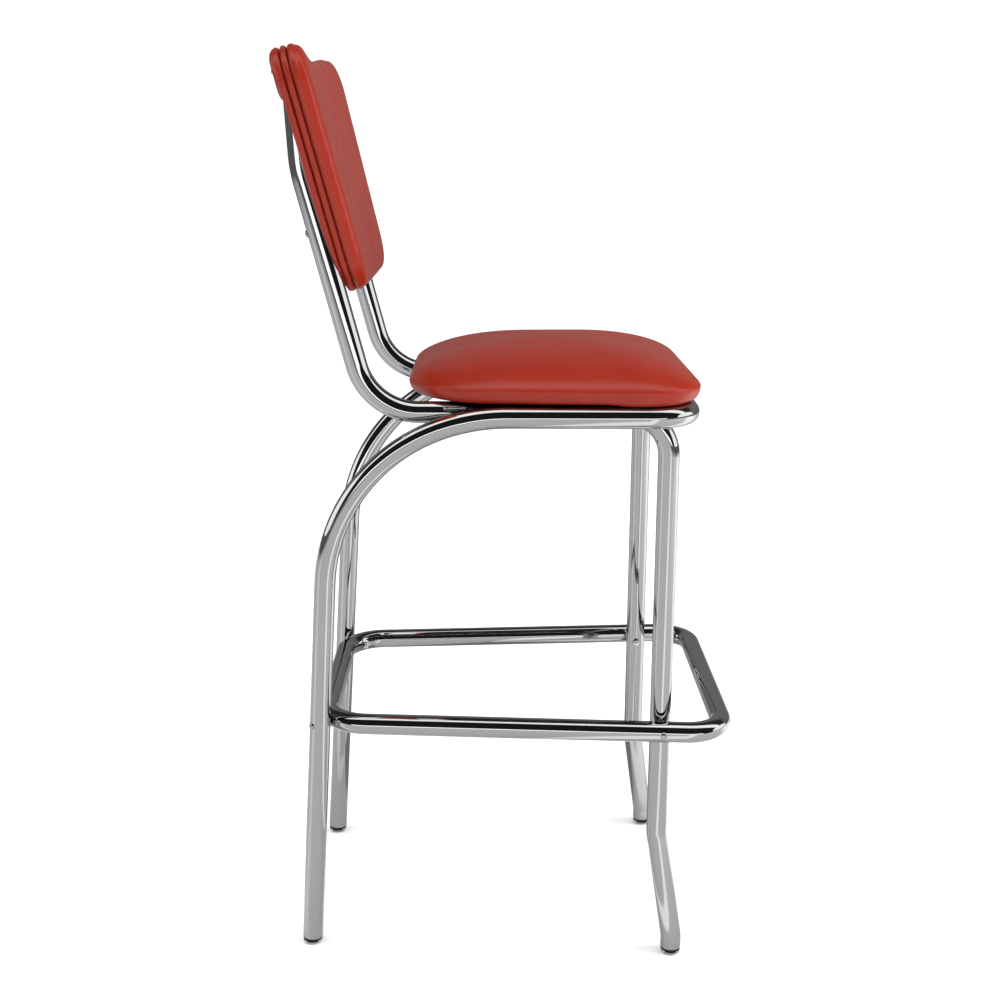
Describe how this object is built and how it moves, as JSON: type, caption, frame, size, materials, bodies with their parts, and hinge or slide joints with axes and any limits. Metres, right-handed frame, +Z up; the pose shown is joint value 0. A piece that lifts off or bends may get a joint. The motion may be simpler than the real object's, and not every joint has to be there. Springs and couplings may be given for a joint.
{
  "type": "counter_stool",
  "caption": "Diner counter stool with bent chromed tube frame, square footrest ring, round-cornered padded vinyl seat and padded back with welt grooves on swivel glides",
  "frame": {"origin": "on the floor, under the middle of the overall bounding box", "axes": "+X forward, the way the sitter faces; +Y to the sitter's left; +Z up"},
  "size_m": [0.5374, 0.3844, 1.0916],
  "materials": {
    "chrome_tube": "polished chrome plate on bent steel tube",
    "chrome_hardware": "polished chrome plate",
    "zinc_steel": "zinc plated steel, satin",
    "weld_steel": "chromed weld bead, slightly rippled",
    "painted_strap": "black painted flat steel",
    "red_vinyl": "semi-gloss orange red vinyl upholstery with fine grain",
    "plywood": "raw plywood",
    "foam": "open cell upholstery foam",
    "black_fabric": "thin non-woven dust cloth",
    "black_plastic": "moulded black plastic"
  },
  "bodies": {
    "stool_frame": {"seat_hoop_tube": "chrome_tube", "side_tube_left": "chrome_tube", "side_tube_right": "chrome_tube", "footrest_ring": "chrome_tube", "rail_welds": "weld_steel", "seat_strap_front": "painted_strap", "seat_strap_rear": "painted_strap", "seat_board": "plywood", "seat_foam": "foam", "seat_cover": "red_vinyl", "seat_dust_cover": "black_fabric", "seat_screws": "zinc_steel", "seat_tee_nuts": "zinc_steel", "back_board": "plywood", "back_front_foam": "foam", "back_front_cover": "red_vinyl", "back_welt": "red_vinyl", "back_rear_foam": "foam", "back_rear_cover": "red_vinyl", "back_lower_screws": "chrome_hardware", "back_upper_screws": "chrome_hardware", "back_cup_washers": "chrome_hardware", "back_tee_nuts": "zinc_steel", "tube_end_plugs": "black_plastic", "footrest_screws": "chrome_hardware", "footrest_nuts": "chrome_hardware", "footrest_washers": "zinc_steel", "glide_inserts": "black_plastic", "glide_stems": "zinc_steel"},
    "glide_front_left": {"glide_base_front_left": "chrome_hardware"},
    "glide_front_right": {"glide_base_front_right": "chrome_hardware"},
    "glide_rear_left": {"glide_base_rear_left": "chrome_hardware"},
    "glide_rear_right": {"glide_base_rear_right": "chrome_hardware"}
  },
  "joints": [
    {"name": "glide_front_left_tilt", "type": "hinge", "parent": "stool_frame", "child": "glide_front_left", "pos_m": [0.1988, 0.174, 0.0042], "axis": [0, 1, 0], "range_deg": [-4, 4]},
    {"name": "glide_front_right_tilt", "type": "hinge", "parent": "stool_frame", "child": "glide_front_right", "pos_m": [0.1988, -0.174, 0.0042], "axis": [0, 1, 0], "range_deg": [-4, 4]},
    {"name": "glide_rear_left_tilt", "type": "hinge", "parent": "stool_frame", "child": "glide_rear_left", "pos_m": [-0.25471, 0.14937, 0.0042], "axis": [0, 1, 0], "range_deg": [-4, 4]},
    {"name": "glide_rear_right_tilt", "type": "hinge", "parent": "stool_frame", "child": "glide_rear_right", "pos_m": [-0.25471, -0.14937, 0.0042], "axis": [0, 1, 0], "range_deg": [-4, 4]}
  ]
}
